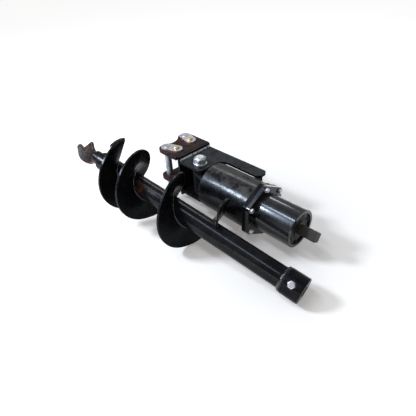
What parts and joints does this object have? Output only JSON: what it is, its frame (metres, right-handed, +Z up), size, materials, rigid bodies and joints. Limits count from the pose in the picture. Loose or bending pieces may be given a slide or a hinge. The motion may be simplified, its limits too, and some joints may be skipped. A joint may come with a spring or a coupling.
{
  "type": "excavator auger attachment",
  "caption": "Hydraulic earth auger drive in a swinging cradle hitch, with its flighted auger bit lying beside it, for a small excavator.",
  "frame": {"origin": "on the ground, under the middle of the whole set as it lies", "axes": "+X along the drive's axis towards its output shaft, +Z up, +Y away from the auger bit"},
  "size_m": [1.2538, 0.6158, 0.3858],
  "materials": {
    "auger_paint": "gloss",
    "black_paint": "gloss",
    "bronze": "machined",
    "cap_plastic": "moulded",
    "cast_iron": "as cast",
    "dark_steel": "phosphated",
    "forged_steel": "hardened, rusted",
    "hood_paint": "gloss",
    "machined_steel": "machined",
    "seal_rubber": "matte",
    "yellow_zinc": "yellow passivated zinc",
    "zinc": "zinc plated"
  },
  "bodies": {
    "drive": {"bearing_cups": "machined_steel", "flange_bolts": "zinc", "gearbox_housing": "hood_paint", "gearbox_input_cover": "cast_iron", "hood_end_plate": "hood_paint", "hood_flange": "hood_paint", "hood_shell": "hood_paint", "input_shaft_seal": "seal_rubber", "motor_body": "cast_iron", "motor_bolts": "dark_steel", "motor_end_cover": "cast_iron", "motor_mounting_flange": "cast_iron", "neck_plates": "black_paint", "neck_web": "black_paint", "output_shaft_seal": "seal_rubber", "pivot_bushes": "bronze", "pivot_lug": "black_paint", "port_caps": "cap_plastic", "port_lines": "zinc", "ring_gear": "machined_steel", "seal_cover": "hood_paint", "seal_cover_screws": "dark_steel"},
    "output": {"output_shaft": "dark_steel", "stage2_carrier": "cast_iron", "stage2_planet_pins": "machined_steel", "bearing_cones": "machined_steel"},
    "stage1_carrier_group": {"stage1_carrier": "cast_iron", "stage1_planet_pins": "machined_steel", "stage2_sun_gear": "machined_steel"},
    "motor_drive": {"motor_drive_shaft": "machined_steel", "stage1_sun_gear": "machined_steel"},
    "motor_idler": {"motor_idler_gear": "machined_steel"},
    "hitch": {"upper_side_plate": "black_paint", "lower_side_plate": "black_paint", "cross_plate": "black_paint", "upper_ear_plate": "black_paint", "lower_ear_plate": "black_paint", "cradle_saddle_plate": "black_paint", "pivot_bolt": "zinc", "pivot_nut_and_washers": "zinc"},
    "near_pin": {"near_hitch_pin": "zinc", "near_pin_flag": "zinc", "near_lock_bolt": "yellow_zinc"},
    "far_pin": {"far_hitch_pin": "zinc", "far_pin_flag": "zinc", "far_lock_bolt": "yellow_zinc"},
    "auger_bit": {"auger_tube": "auger_paint", "auger_hub": "auger_paint", "hub_cross_bolt": "zinc", "main_flight": "auger_paint", "second_start_flight": "auger_paint", "cutter_blades": "forged_steel", "pilot_socket": "auger_paint", "pilot_point": "forged_steel"},
    "stage1_planet_1": {"stage1_planet_gear_1": "machined_steel"},
    "stage1_planet_2": {"stage1_planet_gear_2": "machined_steel"},
    "stage1_planet_3": {"stage1_planet_gear_3": "machined_steel"},
    "stage2_planet_1": {"stage2_planet_gear_1": "machined_steel"},
    "stage2_planet_2": {"stage2_planet_gear_2": "machined_steel"},
    "stage2_planet_3": {"stage2_planet_gear_3": "machined_steel"}
  },
  "joints": [
    {"name": "output_spin", "type": "hinge", "parent": "drive", "child": "output", "pos_m": [0.25179, 0.16386, 0.127], "axis": [1, 0, 0], "continuous": true},
    {"name": "stage1_carrier_spin", "type": "hinge", "parent": "drive", "child": "stage1_carrier_group", "pos_m": [0.25179, 0.16386, 0.127], "axis": [1, 0, 0], "continuous": true},
    {"name": "motor_drive_spin", "type": "hinge", "parent": "drive", "child": "motor_drive", "pos_m": [0.25179, 0.16386, 0.127], "axis": [1, 0, 0], "continuous": true},
    {"name": "motor_idler_spin", "type": "hinge", "parent": "drive", "child": "motor_idler", "pos_m": [0.25179, 0.16386, 0.071], "axis": [1, 0, 0], "continuous": true},
    {"name": "hitch_swing", "type": "hinge", "parent": "drive", "child": "hitch", "pos_m": [-0.12221, 0.15186, 0.127], "axis": [0, 0, 1], "range_deg": [0, 24]},
    {"name": "near_pin_draw", "type": "slide", "parent": "hitch", "child": "near_pin", "axis": [0, 0, 1], "range_m": [0, 0.22]},
    {"name": "far_pin_draw", "type": "slide", "parent": "hitch", "child": "far_pin", "axis": [0, 0, 1], "range_m": [0, 0.22]},
    {"name": "auger_lift", "type": "slide", "parent": "drive", "child": "auger_bit", "axis": [0, 0, 1], "range_m": [0, 0.5]},
    {"name": "stage1_planet_1_spin", "type": "hinge", "parent": "stage1_carrier_group", "child": "stage1_planet_1", "pos_m": [0.25179, 0.16386, 0.16825], "axis": [1, 0, 0], "continuous": true},
    {"name": "stage1_planet_2_spin", "type": "hinge", "parent": "stage1_carrier_group", "child": "stage1_planet_2", "pos_m": [0.25179, 0.12813, 0.10637], "axis": [1, 0, 0], "continuous": true},
    {"name": "stage1_planet_3_spin", "type": "hinge", "parent": "stage1_carrier_group", "child": "stage1_planet_3", "pos_m": [0.25179, 0.19958, 0.10637], "axis": [1, 0, 0], "continuous": true},
    {"name": "stage2_planet_1_spin", "type": "hinge", "parent": "output", "child": "stage2_planet_1", "pos_m": [0.25179, 0.16386, 0.16825], "axis": [1, 0, 0], "continuous": true},
    {"name": "stage2_planet_2_spin", "type": "hinge", "parent": "output", "child": "stage2_planet_2", "pos_m": [0.25179, 0.12813, 0.10637], "axis": [1, 0, 0], "continuous": true},
    {"name": "stage2_planet_3_spin", "type": "hinge", "parent": "output", "child": "stage2_planet_3", "pos_m": [0.25179, 0.19958, 0.10637], "axis": [1, 0, 0], "continuous": true}
  ],
  "couplings": [
    {"joint": "stage1_planet_1_spin", "follows": "output_spin", "ratio": -12.467},
    {"joint": "stage1_planet_2_spin", "follows": "output_spin", "ratio": -12.467},
    {"joint": "stage1_planet_3_spin", "follows": "output_spin", "ratio": -12.467},
    {"joint": "stage2_planet_1_spin", "follows": "output_spin", "ratio": -2.8333},
    {"joint": "stage2_planet_2_spin", "follows": "output_spin", "ratio": -2.8333},
    {"joint": "stage2_planet_3_spin", "follows": "output_spin", "ratio": -2.8333},
    {"joint": "stage1_carrier_spin", "follows": "output_spin", "ratio": 4.4},
    {"joint": "motor_drive_spin", "follows": "output_spin", "ratio": 19.36},
    {"joint": "motor_idler_spin", "follows": "output_spin", "ratio": -19.36}
  ]
}
